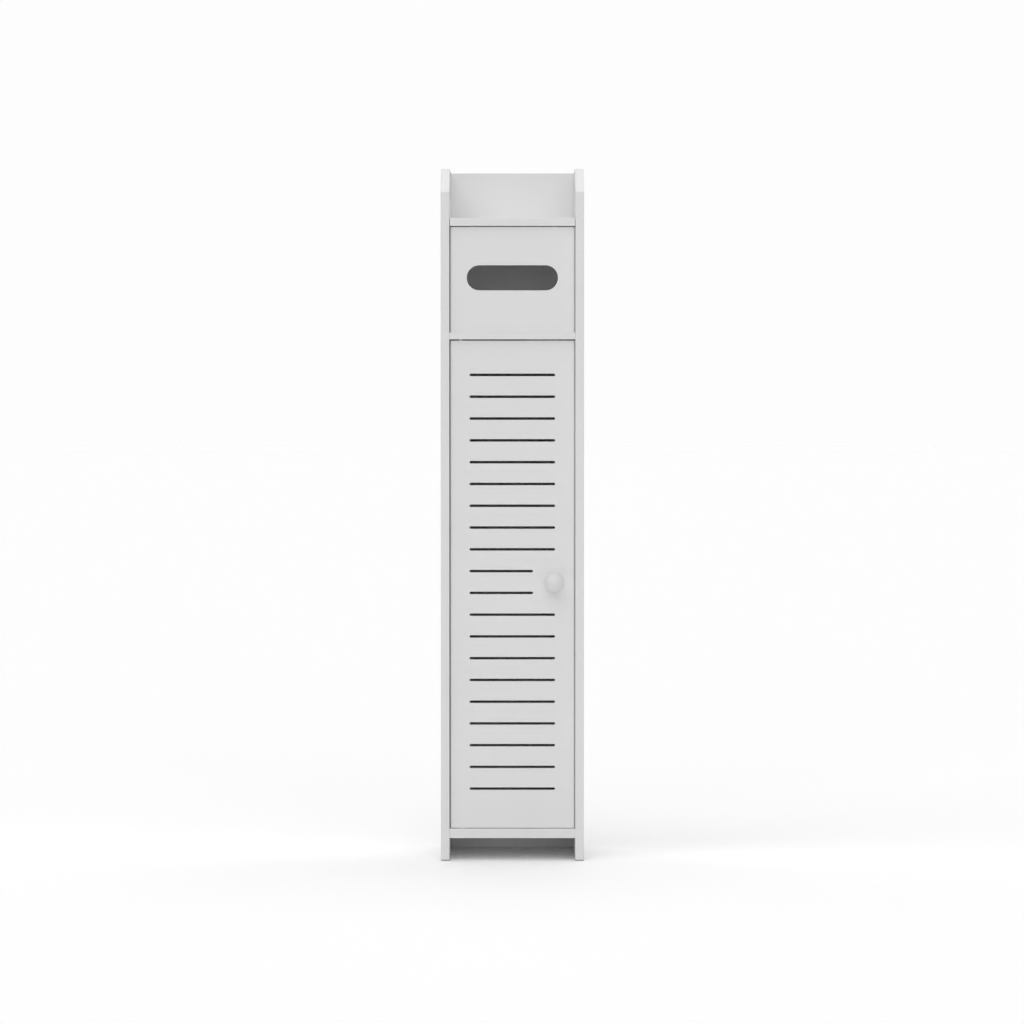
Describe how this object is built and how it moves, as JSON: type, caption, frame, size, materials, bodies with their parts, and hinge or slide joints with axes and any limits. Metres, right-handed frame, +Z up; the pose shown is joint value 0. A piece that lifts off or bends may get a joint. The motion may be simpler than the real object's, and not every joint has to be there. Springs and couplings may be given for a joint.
{
  "type": "toilet roll storage cabinet",
  "caption": "Slim white bathroom cabinet for spare toilet rolls: open tray on top, paper compartment with an oval slot under a lift-up lid, louvred door with a knob, toe space.",
  "frame": {"origin": "on the floor under the foot pads, midway between the two sides and midway between the tip of the knob and the back", "axes": "+Z up; -Y towards the front, where the door is; +X to the right as seen from the front"},
  "size_m": [0.1658, 0.1736, 0.8],
  "materials": {
    "board_white": "white satin lacquer on fibreboard",
    "knob_white": "white moulded plastic, glossy",
    "cap_white": "white moulded plastic",
    "nylon": "natural nylon",
    "zinc_steel": "zinc-plated steel",
    "magnet": "dark ferrite",
    "beech": "raw beech",
    "silicone": "translucent silicone",
    "pad_grey": "light grey foam rubber"
  },
  "bodies": {
    "carcass": {"left_side": "board_white", "right_side": "board_white", "back_panel": "board_white", "bottom_shelf": "board_white", "middle_shelf": "board_white", "tissue_front": "board_white", "upper_door_bush": "nylon", "lower_door_bush": "nylon", "left_lid_bush": "nylon", "right_lid_bush": "nylon", "lid_bumpers": "silicone", "catch_housing": "cap_white", "catch_magnet": "magnet", "catch_poles": "zinc_steel", "catch_screws": "zinc_steel", "shelf_dowels": "beech", "tissue_front_dowels": "beech", "tissue_front_screws": "zinc_steel", "shelf_screws": "zinc_steel", "back_screws": "zinc_steel", "screw_caps": "cap_white", "foot_pads": "pad_grey"},
    "door": {"door_panel": "board_white", "knob": "knob_white", "knob_screw": "zinc_steel", "upper_door_pin": "zinc_steel", "lower_door_pin": "zinc_steel", "strike_plate": "zinc_steel", "strike_screw": "zinc_steel"},
    "lid": {"tray_lid": "board_white", "left_lid_pin": "zinc_steel", "right_lid_pin": "zinc_steel"}
  },
  "joints": [
    {"name": "door_hinge", "type": "hinge", "parent": "carcass", "child": "door", "pos_m": [-0.0595, -0.0625, 0.31905], "axis": [0, 0, -1], "range_deg": [0, 110]},
    {"name": "lid_hinge", "type": "hinge", "parent": "carcass", "child": "lid", "pos_m": [0, 0.07205, 0.7368], "axis": [-1, 0, 0], "range_deg": [0, 90]}
  ]
}
